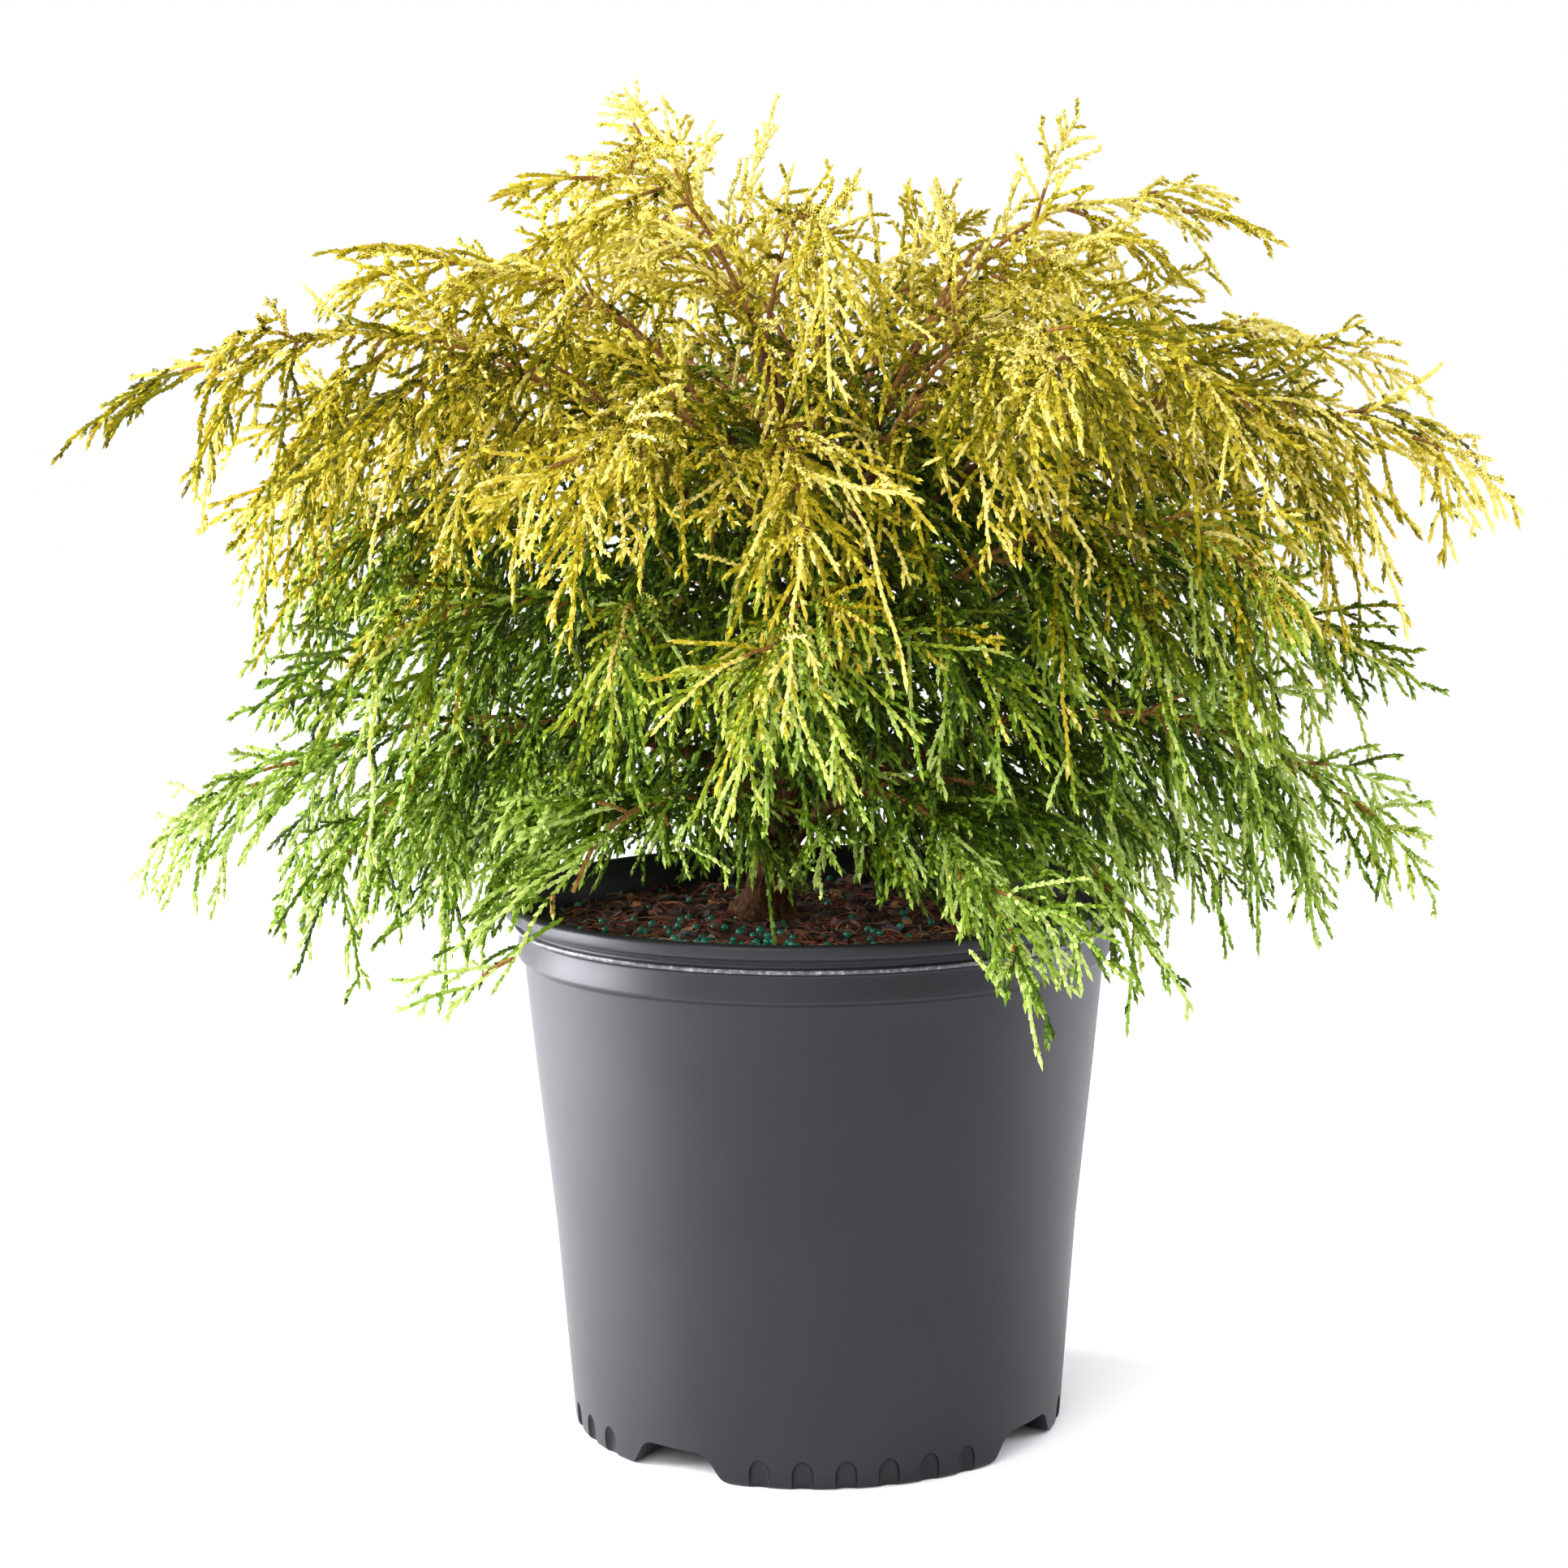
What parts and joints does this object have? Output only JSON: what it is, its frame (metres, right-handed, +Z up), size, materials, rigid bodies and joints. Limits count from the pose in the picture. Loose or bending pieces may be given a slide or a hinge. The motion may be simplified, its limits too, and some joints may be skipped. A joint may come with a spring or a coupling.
{
  "type": "potted conifer",
  "caption": "Golden threadleaf sawara cypress, a low mounded shrub with arching sprays, growing in a round nursery pot filled with bark mix.",
  "frame": {"origin": "centre of the pot's foot, in the plane that the pot stands on", "axes": "+Z up, -Y towards the front, +X to the right of someone who faces the front"},
  "size_m": [0.6039, 0.5742, 0.6009],
  "materials": {
    "pot": "satin",
    "soil": "rough bark mix",
    "bark": "thin stringy bark",
    "foliage_green": "green thread-like scale foliage",
    "foliage_lime": "yellow-green thread-like scale foliage",
    "foliage_gold": "golden thread-like scale foliage",
    "foliage_bright_gold": "bright golden thread-like scale foliage"
  },
  "bodies": {
    "root": {"dome_bough_1": "bark", "dome_bough_2": "bark", "dome_bough_3": "bark", "dome_bough_4": "bark", "dome_bough_5": "bark", "dome_bough_6": "bark", "dome_foliage_1": "foliage_bright_gold", "dome_foliage_2": "foliage_bright_gold", "dome_foliage_3": "foliage_bright_gold", "dome_foliage_4": "foliage_bright_gold", "dome_foliage_5": "foliage_bright_gold", "dome_foliage_6": "foliage_bright_gold", "leader_foliage_1": "foliage_bright_gold", "pot": "pot", "shoulder_bough_1": "bark", "shoulder_bough_2": "bark", "shoulder_bough_3": "bark", "shoulder_bough_4": "bark", "shoulder_bough_5": "bark", "shoulder_bough_6": "bark", "shoulder_bough_7": "bark", "shoulder_bough_8": "bark", "shoulder_foliage_1": "foliage_gold", "shoulder_foliage_2": "foliage_gold", "shoulder_foliage_3": "foliage_gold", "shoulder_foliage_4": "foliage_gold", "shoulder_foliage_5": "foliage_gold", "shoulder_foliage_6": "foliage_gold", "shoulder_foliage_7": "foliage_gold", "shoulder_foliage_8": "foliage_gold", "skirt_bough_1": "bark", "skirt_bough_2": "bark", "skirt_bough_3": "bark", "skirt_bough_4": "bark", "skirt_bough_5": "bark", "skirt_bough_6": "bark", "skirt_bough_7": "bark", "skirt_foliage_1": "foliage_green", "skirt_foliage_2": "foliage_green", "skirt_foliage_3": "foliage_green", "skirt_foliage_4": "foliage_green", "skirt_foliage_5": "foliage_green", "skirt_foliage_6": "foliage_green", "skirt_foliage_7": "foliage_green", "soil": "soil", "top_foliage_1": "foliage_bright_gold", "top_foliage_2": "foliage_bright_gold", "top_foliage_3": "foliage_bright_gold", "trunk": "bark", "waist_foliage_1": "foliage_lime", "waist_foliage_2": "foliage_lime", "waist_foliage_3": "foliage_lime", "waist_foliage_4": "foliage_lime", "waist_foliage_5": "foliage_lime", "waist_foliage_6": "foliage_lime", "waist_foliage_7": "foliage_lime"}
  },
  "joints": []
}
